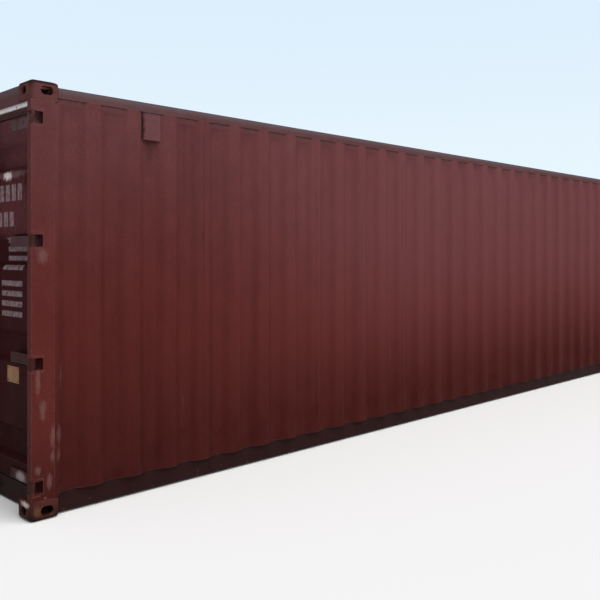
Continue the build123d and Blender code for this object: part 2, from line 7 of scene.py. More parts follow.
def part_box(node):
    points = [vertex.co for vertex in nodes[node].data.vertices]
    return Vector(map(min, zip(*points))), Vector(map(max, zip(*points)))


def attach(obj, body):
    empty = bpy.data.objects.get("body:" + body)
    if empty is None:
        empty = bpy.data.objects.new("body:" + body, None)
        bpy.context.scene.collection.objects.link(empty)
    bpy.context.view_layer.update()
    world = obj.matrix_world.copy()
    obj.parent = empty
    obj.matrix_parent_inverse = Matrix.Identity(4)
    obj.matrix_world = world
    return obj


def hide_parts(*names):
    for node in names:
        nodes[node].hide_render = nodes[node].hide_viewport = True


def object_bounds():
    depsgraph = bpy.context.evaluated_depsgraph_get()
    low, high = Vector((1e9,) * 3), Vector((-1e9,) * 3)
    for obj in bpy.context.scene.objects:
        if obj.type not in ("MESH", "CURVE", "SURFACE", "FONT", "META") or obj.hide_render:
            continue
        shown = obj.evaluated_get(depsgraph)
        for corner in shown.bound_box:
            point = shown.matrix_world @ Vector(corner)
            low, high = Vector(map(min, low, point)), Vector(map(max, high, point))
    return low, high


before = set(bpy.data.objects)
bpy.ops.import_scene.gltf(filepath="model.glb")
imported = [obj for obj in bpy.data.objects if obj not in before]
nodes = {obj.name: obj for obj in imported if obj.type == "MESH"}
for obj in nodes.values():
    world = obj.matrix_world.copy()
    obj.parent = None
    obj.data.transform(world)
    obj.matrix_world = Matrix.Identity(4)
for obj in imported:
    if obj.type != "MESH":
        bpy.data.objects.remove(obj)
cad_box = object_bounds()

# Corner castings
# Eight hollow cast-steel blocks that carry the whole box, welded to the posts and rails.
# They wear oxide-red paint, rubbed through to rust where twist locks touch, with a painted highlight on one
# end face.
scene = bpy.context.scene
rear, right, ground = cad_box[0]
front, left, crown = cad_box[1]


def fill(tree, socket, value):
    """Link another node's output to a socket, or set the socket's own value."""
    if isinstance(value, bpy.types.NodeSocket):
        tree.links.new(value, socket)
    else:
        socket.default_value = value


def place(tree, kind, inputs=None, **settings):
    """Add one node with its options set and its inputs filled by name or number."""
    made = tree.nodes.new(kind)
    for option, value in settings.items():
        setattr(made, option, value)
    for key, value in (inputs or {}).items():
        fill(tree, made.inputs[key], value)
    return made


def calc(tree, operation, first, second=0.0):
    """Output of one arithmetic step."""
    return place(tree, "ShaderNodeMath", {0: first, 1: second}, operation=operation).outputs[0]


def product(tree, first, *others):
    """Several values multiplied together."""
    for other in others:
        first = calc(tree, "MULTIPLY", first, other)
    return first


def ramp(tree, value, low, high, start=0.0, end=1.0):
    """Value moved smoothly from one range to another, held at both ends."""
    step = place(
        tree,
        "ShaderNodeMapRange",
        {"Value": value, "From Min": low, "From Max": high, "To Min": start, "To Max": end},
        interpolation_type="SMOOTHSTEP",
    )
    return step.outputs["Result"]


def tint(tree, factor, below, above, mode="MIX"):
    """Two colours mixed by a factor."""
    mix = place(tree, "ShaderNodeMix", {0: factor, 6: below, 7: above}, data_type="RGBA", blend_type=mode)
    return mix.outputs[2]


def grey(tree, value):
    """Grey of one brightness."""
    return place(tree, "ShaderNodeCombineColor", {0: value, 1: value, 2: value}).outputs[0]


def clouds(tree, where, scale, detail=4.0, roughness=0.55):
    """Grey noise of one scale."""
    noise = place(
        tree,
        "ShaderNodeTexNoise",
        {"Vector": where, "Scale": scale, "Detail": detail, "Roughness": roughness},
    )
    return noise.outputs[0]


def split(tree, vector):
    """X, Y and Z of a vector."""
    return place(tree, "ShaderNodeSeparateXYZ", {0: vector}).outputs


def coordinates(tree, kind="Object"):
    """One of the coordinates of the surface point, in the object's own frame."""
    return place(tree, "ShaderNodeTexCoord").outputs[kind]


def vector_calc(tree, operation, first, second=(0.0, 0.0, 0.0)):
    """Vector output of one step of vector arithmetic."""
    return place(tree, "ShaderNodeVectorMath", {0: first, 1: second}, operation=operation).outputs[0]


def distance(tree, vector):
    """Length of a vector."""
    return place(tree, "ShaderNodeVectorMath", {0: vector}, operation="LENGTH").outputs["Value"]


def shader_group(name, inputs, outputs):
    """Empty shader group with named sockets, and the nodes that hold its inputs and outputs."""
    group = bpy.data.node_groups.new(name, "ShaderNodeTree")
    kinds = {"colour": "NodeSocketColor", "value": "NodeSocketFloat"}
    for socket, kind in inputs:
        group.interface.new_socket(socket, in_out="INPUT", socket_type=kinds[kind])
    for socket, kind in outputs:
        group.interface.new_socket(socket, in_out="OUTPUT", socket_type=kinds[kind])
    return group, group.nodes.new("NodeGroupInput").outputs, group.nodes.new("NodeGroupOutput").inputs


def weathered_paint_group():
    """Old paint on steel: chalk and painted sky reflection above, grimy below, streaked by rain, freckled
    with rust.
    """
    group, given, result = shader_group(
        "weathered_paint",
        [
            ("Paint", "colour"),
            ("Chalk", "colour"),
            ("Grime", "colour"),
            ("Rust", "colour"),
            ("Chalk Low", "value"),
            ("Chalk High", "value"),
            ("Grime High", "value"),
            ("Streaks", "value"),
            ("Rust Share", "value"),
        ],
        [("Color", "colour"), ("Roughness", "value"), ("Height", "value")],
    )
    where = coordinates(group)
    level = split(group, where)["Z"]
    drawn = place(group, "ShaderNodeMapping", {"Vector": where, "Scale": (9.0, 9.0, 0.4)}).outputs[0]
    rain = clouds(group, drawn, 1.0, 7.0, 0.62)
    patches = clouds(group, where, 0.8, 3.0)
    mottle = clouds(group, where, 7.0, 5.0, 0.6)
    grit = clouds(group, where, 120.0, 2.0)
    # Paler towards the top: sun-chalked paint, and a painted sky reflection near the top.
    chalk_and_sheen = ramp(group, level, given["Chalk Low"], given["Chalk High"])
    chalk_and_sheen = product(group, chalk_and_sheen, ramp(group, patches, 0.3, 0.7, 0.7, 1.0))
    colour = tint(group, chalk_and_sheen, given["Paint"], given["Chalk"])
    grime = ramp(group, level, given["Grime High"], 0.0)
    grime = product(group, grime, ramp(group, mottle, 0.25, 0.75, 0.55, 1.0))
    colour = tint(group, grime, colour, given["Grime"])
    for start, end, stain in (
        (0.46, 0.72, (0.62, 0.58, 0.60, 1.0)),
        (0.46, 0.24, (1.22, 1.24, 1.26, 1.0)),
    ):
        runs = product(group, ramp(group, rain, start, end), given["Streaks"])
        colour = tint(group, runs, colour, tint(group, 1.0, colour, stain, "MULTIPLY"))
    shade = product(group, ramp(group, mottle, 0.3, 0.7, 0.93, 1.07), ramp(group, grit, 0.3, 0.7, 0.9, 1.1))
    colour = tint(group, 1.0, colour, grey(group, shade), "MULTIPLY")
    freckles = clouds(group, where, 26.0, 8.0, 0.7)
    low_down = ramp(group, level, given["Grime High"], 0.0, 0.0, 0.07)
    edge = calc(group, "SUBTRACT", 0.80, product(group, given["Rust Share"], 0.25))
    rust = ramp(group, calc(group, "ADD", freckles, low_down), edge, calc(group, "ADD", edge, 0.05))
    colour = tint(group, rust, colour, given["Rust"])
    rough = calc(group, "ADD", ramp(group, mottle, 0.2, 0.8, 0.52, 0.68), product(group, rust, 0.2))
    relief = calc(group, "ADD", product(group, grit, 0.25), product(group, mottle, 0.4))
    relief = calc(group, "SUBTRACT", relief, product(group, rust, 0.35))
    fill(group, result["Color"], colour)
    fill(group, result["Roughness"], rough)
    fill(group, result["Height"], relief)
    return group


def rubbed_edges_group():
    """Mask of convex edges that handling has rubbed bare, broken up by noise."""
    group, given, result = shader_group(
        "rubbed_edges", [("Reach", "value"), ("Share", "value")], [("Mask", "value")]
    )
    rounded = place(group, "ShaderNodeBevel", {"Radius": given["Reach"]}, samples=6).outputs[0]
    flat = place(group, "ShaderNodeNewGeometry").outputs["True Normal"]
    facing = place(group, "ShaderNodeVectorMath", {0: rounded, 1: flat}, operation="DOT_PRODUCT")
    turned = ramp(group, facing.outputs["Value"], 0.995, 0.86)
    broken = ramp(group, clouds(group, coordinates(group), 34.0, 5.0, 0.65), 0.36, 0.62)
    fill(group, result["Mask"], product(group, turned, broken, given["Share"]))
    return group


def worn_marks_group(name, patches):
    """Mask of ragged worn patches, each given by its middle and its three half sizes."""
    group, given, result = shader_group(name, [("Share", "value")], [("Mask", "value")])
    where = coordinates(group)
    drawn = place(group, "ShaderNodeMapping", {"Vector": where, "Scale": (110.0, 110.0, 26.0)}).outputs[0]
    ragged = calc(group, "SUBTRACT", clouds(group, drawn, 1.0, 6.0, 0.7), 0.5)
    total = 0.0
    for patch_middle, patch_half in patches:
        aside = vector_calc(group, "SUBTRACT", where, patch_middle)
        far = distance(group, vector_calc(group, "DIVIDE", aside, patch_half))
        total = calc(group, "MAXIMUM", ramp(group, far, 1.3, 0.0), total)
    worn = ramp(group, calc(group, "ADD", total, product(group, ragged, 2.2)), 0.20, 1.00)
    fill(group, result["Mask"], product(group, worn, ramp(group, total, 0.0, 0.45), given["Share"]))
    return group


def overlay(material, factor, colour, mode="MIX"):
    """Lay one more colour over what a material already wears."""
    tree = material.node_tree
    base = tree.nodes["Principled BSDF"].inputs["Base Color"]
    fill(tree, base, tint(tree, factor, base.links[0].from_socket, colour, mode))


def wear(material, colour, share, patches):
    """Lay worn patches of one colour over a material."""
    marks = worn_marks_group(material.name + "_marks", patches)
    worn = place(material.node_tree, "ShaderNodeGroup", {"Share": share}, node_tree=marks)
    overlay(material, worn.outputs["Mask"], colour)


weathered_paint = weathered_paint_group()
rubbed_edges = rubbed_edges_group()
steel_finish = {
    "Paint": (0.084, 0.0155, 0.0132, 1.0),
    "Chalk": (0.122, 0.0400, 0.0415, 1.0),
    "Grime": (0.034, 0.0052, 0.0040, 1.0),
    "Rust": (0.082, 0.0260, 0.0130, 1.0),
    "Chalk Low": 1.0,
    "Chalk High": 2.7,
    "Grime High": 1.25,
    "Streaks": 0.4,
    "Rust Share": 0.5,
}


def painted_steel(
    name,
    bare=None,
    edge_reach=0.006,
    edge_share=0.8,
    relief=0.0012,
    gloss=0.05,
    marks=(),
    **values,
):
    """Painted steel. Bare is the colour of its rubbed edges, marks are colours with a share and patches."""
    material = bpy.data.materials.new(name)
    material.use_nodes = True
    tree = material.node_tree
    surface = tree.nodes["Principled BSDF"]
    coat = place(tree, "ShaderNodeGroup", {**steel_finish, **values}, node_tree=weathered_paint)
    bump = place(
        tree,
        "ShaderNodeBump",
        {"Height": coat.outputs["Height"], "Distance": relief, "Strength": 0.6},
    )
    fill(tree, surface.inputs["Base Color"], coat.outputs["Color"])
    fill(tree, surface.inputs["Roughness"], coat.outputs["Roughness"])
    fill(tree, surface.inputs["Normal"], bump.outputs[0])
    surface.inputs["Specular IOR Level"].default_value = gloss
    if bare:
        edge_sizes = {"Reach": edge_reach, "Share": edge_share}
        edges = place(tree, "ShaderNodeGroup", edge_sizes, node_tree=rubbed_edges)
        overlay(material, edges.outputs["Mask"], bare)
    for colour, share, patches in marks:
        wear(material, colour, share, patches)
    return material


# Painted highlight: a pale patch near the bottom of the rear end face.
end_face_highlight = ((rear, right + 0.074, 0.100), (0.02, 0.072, 0.026))
rust_patch = ((rear + 0.045, right, 0.060), (0.055, 0.02, 0.045))
casting_paint = painted_steel(
    "casting_paint",
    relief=0.004,
    marks=[
        ((0.60, 0.47, 0.45, 1.0), 0.9, [end_face_highlight]),
        ((0.10, 0.042, 0.020, 1.0), 0.8, [rust_patch]),
    ],
    Paint=(0.070, 0.0190, 0.0150, 1.0),
    Chalk=(0.098, 0.0350, 0.0330, 1.0),
    Grime=(0.012, 0.0042, 0.0032, 1.0),
    Rust=(0.060, 0.0230, 0.0130, 1.0),
    **{"Rust Share": 0.9, "Grime High": 0.15, "Streaks": 0.3},
)
# Dark rim on the rounded edges: partly rust, partly painted shade where the edges turn away from the light.
rusty_shaded_rim = place(casting_paint.node_tree, "ShaderNodeAttribute", attribute_name="rim").outputs["Fac"]
overlay(casting_paint, rusty_shaded_rim, (0.020, 0.0085, 0.0075, 1.0))


def geometry_group(name, inputs):
    """Empty geometry group with named inputs, and the nodes that hold its inputs and its output."""
    tree = bpy.data.node_groups.new(name, "GeometryNodeTree")
    kinds = {
        "size": "NodeSocketFloat",
        "count": "NodeSocketInt",
        "point": "NodeSocketVector",
        "finish": "NodeSocketMaterial",
        "shape": "NodeSocketGeometry",
    }
    for socket, kind in inputs:
        tree.interface.new_socket(socket, in_out="INPUT", socket_type=kinds[kind])
    tree.interface.new_socket("Geometry", in_out="OUTPUT", socket_type="NodeSocketGeometry")
    return tree, tree.nodes.new("NodeGroupInput").outputs, tree.nodes.new("NodeGroupOutput").inputs


def end_tree(tree, result, shape, finish, smooth=True):
    """Last steps of a geometry tree: smooth shading if asked, instances made real, finish set."""
    if smooth:
        shape = place(tree, "GeometryNodeSetShadeSmooth", {"Geometry": shape}).outputs[0]
    real = place(tree, "GeometryNodeRealizeInstances", {"Geometry": shape}).outputs[0]
    dressed = place(tree, "GeometryNodeSetMaterial", {"Geometry": real, "Material": finish}).outputs[0]
    fill(tree, result["Geometry"], dressed)


def rounded_off(tree, corner, half, rounding):
    """Position drawn in onto a rounded box, and how far it stood out of it."""
    curve = place(tree, "ShaderNodeCombineXYZ", {axis: rounding for axis in "XYZ"}).outputs[0]
    inner = vector_calc(tree, "MINIMUM", corner, vector_calc(tree, "SUBTRACT", half, curve))
    beyond = vector_calc(tree, "SUBTRACT", corner, inner)
    far = calc(tree, "MAXIMUM", distance(tree, beyond), rounding)
    shrink = calc(tree, "DIVIDE", rounding, far)
    drawn = place(tree, "ShaderNodeVectorMath", {0: beyond, "Scale": shrink}, operation="SCALE").outputs[0]
    excess = calc(tree, "SUBTRACT", calc(tree, "DIVIDE", far, rounding), 1.0)
    return vector_calc(tree, "ADD", inner, drawn), excess


def rounded_tree():
    """Castings whose outer edges, and top or bottom edges at the inner end, are rounded off."""
    tree, given, result = geometry_group(
        "rounded_corners",
        [
            ("Geometry", "shape"),
            ("Middle", "point"),
            ("Half", "point"),
            ("Inner End", "point"),
            ("Rounding", "size"),
            ("Finish", "finish"),
        ],
    )
    welded = {"Geometry": given["Geometry"], "Distance": 0.00002}
    joined = place(tree, "GeometryNodeMergeByDistance", welded).outputs[0]
    fine = place(tree, "GeometryNodeSubdivideMesh", {0: joined, "Level": 2}).outputs[0]
    position = place(tree, "GeometryNodeInputPosition").outputs[0]
    spot = vector_calc(tree, "SUBTRACT", position, given["Middle"])
    corner = vector_calc(tree, "ABSOLUTE", spot)
    outer, rim = rounded_off(tree, corner, given["Half"], given["Rounding"])
    flip = (-1.0, 1.0, 1.0)
    turned = vector_calc(tree, "MULTIPLY", outer, flip)
    both, inner_rim = rounded_off(tree, turned, given["Inner End"], given["Rounding"])
    back = vector_calc(tree, "MULTIPLY", both, flip)
    moved = vector_calc(tree, "MULTIPLY", back, vector_calc(tree, "SIGN", spot))
    moved = vector_calc(tree, "ADD", moved, given["Middle"])
    full_rim = 0.12
    far_from_brim = 0.060
    near_brim = 0.010
    edge = ramp(tree, calc(tree, "MAXIMUM", rim, inner_rim), 0.0, full_rim)
    below_brim = calc(tree, "SUBTRACT", split(tree, given["Half"])["Z"], split(tree, corner)["Z"])
    edge = product(tree, edge, ramp(tree, below_brim, far_from_brim, near_brim, 0.25, 0.95))
    rim_marks = {"Geometry": fine, "Name": "rim", "Value": edge}
    marked = place(tree, "GeometryNodeStoreNamedAttribute", rim_marks, domain="POINT").outputs[0]
    bent = place(tree, "GeometryNodeSetPosition", {"Geometry": marked, "Position": moved}).outputs[0]
    end_tree(tree, result, bent, given["Finish"])
    return tree


def run_tree(tree, name, base=None, thickness=0.0, **sizes):
    """Run one geometry tree and keep its result as a plain mesh object."""
    piece = bpy.data.objects.new(name, base or bpy.data.meshes.new(name))
    scene.collection.objects.link(piece)
    maker = piece.modifiers.new("maker", "NODES")
    maker.node_group = tree
    for item in tree.interface.items_tree:
        if item.in_out == "INPUT" and item.name in sizes:
            maker[item.identifier] = sizes[item.name]
    if thickness:
        wall = piece.modifiers.new("wall", "SOLIDIFY")
        wall.thickness = thickness
        wall.offset = -1.0
    graph = bpy.context.evaluated_depsgraph_get()
    mesh = bpy.data.meshes.new_from_object(piece.evaluated_get(graph), depsgraph=graph)
    piece.modifiers.clear()
    piece.data = mesh
    mesh.name = name
    return piece


rounded_corners = rounded_tree()
crease = math.radians(38)
casting_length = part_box("right_bottom_rail")[0][0] - rear
box_middle = (0.5 * (rear + front), 0.5 * (right + left), 0.5 * (ground + crown))
box_half = (0.5 * (front - rear), 0.5 * (left - right), 0.5 * (crown - ground))
for level in ("bottom", "top"):
    casting_node = level + "_corner_castings"
    castings = run_tree(
        rounded_corners,
        level + "_cast_corners",
        base=nodes[casting_node].data.copy(),
        Middle=box_middle,
        Half=box_half,
        Rounding=0.033,
        Finish=casting_paint,
        **{"Inner End": (casting_length - box_half[0], 2 * box_half[1], box_half[2])},
    )
    castings.data.set_sharp_from_angle(angle=crease)
    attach(castings, "container")
    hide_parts(casting_node)

# Corner posts
# Hollow pressed-steel posts between the castings, with pockets for the door hinges at the rear.
# The right-hand one at the rear is scraped pale by chains and by the door that swings round it.


def dress(material, *names):
    """Give CAD nodes their finish."""
    for name in names:
        slots = nodes[name].data.materials
        slots.clear()
        slots.append(material)


post_scrapes = [
    ((rear + 0.076, right, 0.655), (0.030, 0.02, 0.090)),
    ((rear + 0.140, right, 0.485), (0.026, 0.02, 0.100)),
    ((rear + 0.138, right, 0.370), (0.022, 0.02, 0.050)),
    ((rear + 0.046, right, 0.300), (0.030, 0.02, 0.040)),
    ((rear + 0.116, right, 0.230), (0.026, 0.02, 0.070)),
    ((rear + 0.046, right, 0.820), (0.022, 0.02, 0.120)),
    ((rear + 0.075, right, 1.560), (0.050, 0.02, 0.070)),
]
post_paint = painted_steel(
    "post_paint",
    bare=(0.15, 0.080, 0.066, 1.0),
    edge_reach=0.012,
    edge_share=0.35,
    relief=0.003,
    marks=[((0.170, 0.095, 0.085, 1.0), 0.40, post_scrapes)],
    Chalk=(0.100, 0.0330, 0.0340, 1.0),
    Rust=(0.115, 0.0480, 0.0360, 1.0),
    **{"Rust Share": 0.5, "Streaks": 0.35, "Grime High": 0.75},
)
dress(post_paint, "right_rear_post", "left_rear_post", "right_front_post", "left_front_post")

# Side and end rails
# Pressed angle along the base and square tube along the roof, welded to the castings.
# The base rails are near-black, partly road dirt and partly painted shade; the roof rails are chalked grey
# by sun and rain.
# Painted shade: part of the base rails' darkness stands in for the shade under the walls' lower edge.
base_rail_paint = painted_steel(
    "base_rail_paint",
    relief=0.003,
    Paint=(0.020, 0.0065, 0.0058, 1.0),
    Grime=(0.018, 0.0070, 0.0062, 1.0),
    Rust=(0.046, 0.026, 0.020, 1.0),
    **{"Rust Share": 0.6, "Grime High": 0.10, "Chalk Low": 2.0},
)
dress(base_rail_paint, "right_bottom_rail", "left_bottom_rail", "door_sill", "front_sill")
roof_rail_paint = painted_steel(
    "roof_rail_paint",
    bare=(0.15, 0.098, 0.100, 1.0),
    edge_share=0.7,
    Chalk=(0.098, 0.046, 0.048, 1.0),
    **{"Rust Share": 0.7, "Streaks": 0.2},
)
rail_tree = roof_rail_paint.node_tree
rail_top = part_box("right_top_rail")[1][2]
dust_foot = rail_top - 0.045
dust_brow = rail_top - 0.005
dust_share = 0.65
rail_level = split(rail_tree, coordinates(rail_tree))["Z"]
rail_dust = ramp(rail_tree, rail_level, dust_foot, dust_brow, 0.0, dust_share)
overlay(roof_rail_paint, rail_dust, (0.108, 0.086, 0.095, 1.0))
dress(roof_rail_paint, "right_top_rail", "left_top_rail", "front_header")
fascia_paint = roof_rail_paint.copy()
fascia_paint.name = "fascia_paint"
fascia_tree = fascia_paint.node_tree
fascia_spot = split(fascia_tree, coordinates(fascia_tree))
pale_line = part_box("drip_rail")[1][2] + 0.010
pale_blend = 0.004
recess_line = rear + 0.015
recess_blend = 0.005
# A near-white band is painted on the header face just above the drip rail.
pale_band = product(
    fascia_tree,
    ramp(fascia_tree, fascia_spot["Z"], pale_line + pale_blend, pale_line - pale_blend),
    ramp(fascia_tree, fascia_spot["X"], recess_line + recess_blend, recess_line - recess_blend),
)
overlay(fascia_paint, pale_band, (0.50, 0.44, 0.44, 1.0))
dress(fascia_paint, "door_header")

# Drip rail
# Strips welded along the header over the doors to throw rain clear.
# Their lips are painted near-white.
drip_paint = painted_steel(
    "drip_paint",
    Paint=(0.40, 0.36, 0.35, 1.0),
    Chalk=(0.62, 0.60, 0.60, 1.0),
    **{"Rust Share": 0.9, "Chalk Low": 1.0, "Chalk High": 2.4},
)
dress(drip_paint, "drip_rail")

# Floor and underframe
# Plywood sheets on steel channels, with a steel bar down the middle and black underseal below.
# The boards are scuffed by pallets and dark along their joints.


def plywood_material():
    """Hardwood plywood with long grain, sheet joints and dark scuffs."""
    material = bpy.data.materials.new("plywood_boards")
    material.use_nodes = True
    tree = material.node_tree
    surface = tree.nodes["Principled BSDF"]
    where = coordinates(tree)
    drawn = place(tree, "ShaderNodeMapping", {"Vector": where, "Scale": (1.2, 26.0, 26.0)}).outputs[0]
    grain = clouds(tree, drawn, 1.0, 8.0, 0.6)
    scuffs = clouds(tree, where, 3.5, 6.0, 0.65)
    dark_grain = (0.16, 0.080, 0.040, 1.0)
    pale_grain = (0.30, 0.170, 0.090, 1.0)
    scuffed = (0.060, 0.042, 0.030, 1.0)
    colour = tint(tree, ramp(tree, grain, 0.3, 0.7), dark_grain, pale_grain)
    colour = tint(tree, ramp(tree, scuffs, 0.52, 0.70, 0.0, 0.75), colour, scuffed)
    sheets = place(
        tree,
        "ShaderNodeTexBrick",
        {
            "Vector": where,
            "Scale": 1.0,
            "Mortar Size": 0.004,
            "Brick Width": 2.44,
            "Row Height": 1.1345,
            "Color1": (1.0, 1.0, 1.0, 1.0),
            "Color2": (0.86, 0.86, 0.86, 1.0),
            "Mortar": (0.12, 0.12, 0.12, 1.0),
        },
        offset=0.0,
    )
    colour = tint(tree, 1.0, colour, sheets.outputs["Color"], "MULTIPLY")
    bump = place(tree, "ShaderNodeBump", {"Height": grain, "Distance": 0.001, "Strength": 0.6})
    fill(tree, surface.inputs["Base Color"], colour)
    fill(tree, surface.inputs["Roughness"], ramp(tree, scuffs, 0.3, 0.8, 0.5, 0.75))
    fill(tree, surface.inputs["Normal"], bump.outputs[0])
    return material


dress(plywood_material(), "floor_boards")
underseal = painted_steel(
    "underseal",
    relief=0.005,
    Paint=(0.022, 0.017, 0.016, 1.0),
    Grime=(0.030, 0.024, 0.021, 1.0),
    **{"Grime High": 0.2, "Rust Share": 0.9, "Streaks": 0.2},
)
dress(underseal, "cross_members", "tunnel_roof", "tunnel_beams")
floor_steel = painted_steel(
    "floor_steel",
    Paint=(0.20, 0.17, 0.15, 1.0),
    Grime=(0.13, 0.105, 0.09, 1.0),
    **{"Rust Share": 1.2, "Grime High": 0.3},
)
floor_steel.node_tree.nodes["Principled BSDF"].inputs["Metallic"].default_value = 0.6
dress(floor_steel, "floor_centre_rail")

# Side walls
# Sheets of thin steel pressed into upright corrugations and welded edge to edge between the posts.
# Slightly buckled, scraped by handling, grimy low down; painted sky reflection, and painted light under the
# roof rail.
sides = (("right", 1.0), ("left", -1.0))
wall_first, wall_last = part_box("right_side_wall")
wall_sheet = 0.002
wall_lift = 0.020
wall_plane = wall_first[1]
rail_bottom = wall_last[2]
post_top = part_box("right_rear_post")[1][2]
side_valleys = 42
side_end_margin = 0.270
side_flat = 0.070
side_slope = 0.068
side_depth = 0.036
side_pitch = (front - rear - 2 * side_end_margin) / (side_valleys - 1)


def sheet_tree():
    """Corrugated sheet: a grid along X and up Z, pushed back into valleys and gently buckled."""
    tree, given, result = geometry_group(
        "corrugated_sheet",
        [
            ("Length", "size"),
            ("Height", "size"),
            ("Columns", "count"),
            ("Rows", "count"),
            ("First Valley", "size"),
            ("Pitch", "size"),
            ("Valleys", "count"),
            ("Valley Flat", "size"),
            ("Slope", "size"),
            ("Depth", "size"),
            ("Buckle", "size"),
            ("Notch Length", "size"),
            ("Notch Height", "size"),
            ("Lift", "size"),
            ("Finish", "finish"),
        ],
    )
    grid = place(
        tree,
        "GeometryNodeMeshGrid",
        {
            "Size X": given["Length"],
            "Size Y": given["Height"],
            "Vertices X": given["Columns"],
            "Vertices Y": given["Rows"],
        },
    ).outputs["Mesh"]
    spot = split(tree, place(tree, "GeometryNodeInputPosition").outputs[0])
    along = calc(tree, "ADD", spot["X"], product(tree, given["Length"], 0.5))
    up = calc(tree, "ADD", spot["Y"], product(tree, given["Height"], 0.5))
    past = calc(tree, "SUBTRACT", along, given["First Valley"])
    last = calc(tree, "SUBTRACT", given["Valleys"], 1.0)
    nearest = calc(tree, "ROUND", calc(tree, "DIVIDE", past, given["Pitch"]))
    nearest = calc(tree, "MINIMUM", calc(tree, "MAXIMUM", nearest, 0.0), last)
    aside = calc(tree, "ABSOLUTE", calc(tree, "SUBTRACT", past, product(tree, nearest, given["Pitch"])))
    inner = product(tree, given["Valley Flat"], 0.5)
    outer = calc(tree, "ADD", inner, given["Slope"])
    straight = place(
        tree,
        "ShaderNodeMapRange",
        {"Value": aside, "From Min": inner, "From Max": outer, "To Min": 1.0, "To Max": 0.0},
    ).outputs[0]
    curved = ramp(tree, aside, inner, outer, 1.0, 0.0)
    pressed = product(tree, calc(tree, "ADD", straight, curved), 0.5)
    noise = place(tree, "ShaderNodeTexNoise", {"Scale": 1.3, "Detail": 3.0}).outputs[0]
    held_margin = 0.35
    margin = calc(tree, "MINIMUM", up, calc(tree, "SUBTRACT", given["Height"], up))
    loose = ramp(tree, margin, 0.0, held_margin)
    sway = product(tree, calc(tree, "SUBTRACT", noise, 0.5), given["Buckle"], loose)
    back = calc(tree, "ADD", product(tree, pressed, given["Depth"]), sway)
    ends = calc(tree, "MINIMUM", along, calc(tree, "SUBTRACT", given["Length"], along))
    notched = calc(tree, "LESS_THAN", ends, given["Notch Length"])
    limit = calc(tree, "SUBTRACT", given["Height"], product(tree, notched, given["Notch Height"]))
    lifted = product(tree, calc(tree, "SUBTRACT", 1.0, notched), given["Lift"])
    up = calc(tree, "MAXIMUM", calc(tree, "MINIMUM", up, limit), lifted)
    moved = place(tree, "ShaderNodeCombineXYZ", {"X": along, "Y": back, "Z": up}).outputs[0]
    bent = place(tree, "GeometryNodeSetPosition", {"Geometry": grid, "Position": moved}).outputs[0]
    end_tree(tree, result, bent, given["Finish"])
    return tree


def turn_to(piece, matrix):
    """Put a finished mesh in its place, with the object itself left at the origin."""
    piece.data.transform(matrix)
    if matrix.determinant() < 0:
        piece.data.flip_normals()
    piece.data.set_sharp_from_angle(angle=crease)


corrugated_sheet = sheet_tree()
wall_scrapes = [
    ((rear + 0.186, right + 0.012, 0.490), (0.030, 0.03, 0.090)),
    ((rear + 0.182, right + 0.012, 0.370), (0.022, 0.03, 0.060)),
    ((rear + 0.200, right + 0.012, 0.830), (0.012, 0.03, 0.130)),
    ((rear + 1.110, right + 0.012, 0.550), (0.018, 0.05, 0.080)),
    ((rear + 3.400, right + 0.012, 0.700), (0.020, 0.05, 0.160)),
    ((rear + 5.950, right + 0.012, 1.150), (0.030, 0.05, 0.120)),
]
vent_stain_half = (0.075, 0.08, 0.200)
vent_stains = [
    ((rear + 0.845, right + 0.030, 2.300), vent_stain_half),
    ((front - 0.845, left - 0.030, 2.300), vent_stain_half),
]
wall_paint = painted_steel(
    "wall_paint",
    relief=0.0015,
    gloss=0.04,
    marks=[
        ((0.130, 0.062, 0.056, 1.0), 0.5, wall_scrapes),
        ((0.040, 0.0150, 0.0130, 1.0), 0.55, vent_stains),
    ],
    **{"Rust Share": 0.2, "Streaks": 0.38},
)
wall_tree = wall_paint.node_tree
wall_spot = split(wall_tree, coordinates(wall_tree))
# Painted reflection: the wall is painted paler and brighter away from the doors, standing in for reflected
# sky.
sheen_start = rear + 0.3
sheen_full = rear + 4.2
sheen_low = 0.3
sheen_high = 1.7
sheen_share = 0.48
wall_sheen = product(
    wall_tree,
    ramp(wall_tree, wall_spot["X"], sheen_start, sheen_full, 0.0, sheen_share),
    ramp(wall_tree, wall_spot["Z"], sheen_low, sheen_high),
)
overlay(wall_paint, wall_sheen, (0.146, 0.0500, 0.0530, 1.0))
brightening_start = rear + 0.2
brightening_full = rear + 3.0
brightening = ramp(wall_tree, wall_spot["X"], brightening_start, brightening_full, 0.93, 1.04)
overlay(wall_paint, 1.0, grey(wall_tree, brightening), "MULTIPLY")
# Painted light: the tops of the valleys under the roof rail are painted paler to soften the rail's shadow
# there.
rail_light_low = rail_bottom - 0.046
rail_light_high = rail_bottom + 0.006
rail_light_outer = -wall_plane - 0.005
rail_light_inner = -wall_plane - 0.031
from_middle = calc(wall_tree, "ABSOLUTE", wall_spot["Y"])
painted_light_under_rail = product(
    wall_tree,
    ramp(wall_tree, wall_spot["Z"], rail_light_low, rail_light_high),
    ramp(wall_tree, from_middle, rail_light_outer, rail_light_inner),
)
overlay(wall_paint, painted_light_under_rail, (0.235, 0.102, 0.106, 1.0))
side_sizes = {
    "Length": wall_last[0] - wall_first[0],
    "Height": wall_last[2] - wall_first[2],
    "Columns": 1009,
    "Rows": 15,
    "First Valley": rear + side_end_margin - wall_first[0],
    "Pitch": side_pitch,
    "Valleys": side_valleys,
    "Valley Flat": side_flat,
    "Slope": side_slope,
    "Depth": side_depth,
    "Buckle": 0.010,
    "Notch Length": rear + casting_length - wall_first[0],
    "Notch Height": rail_bottom - post_top,
    "Lift": wall_lift,
    "Finish": wall_paint,
}
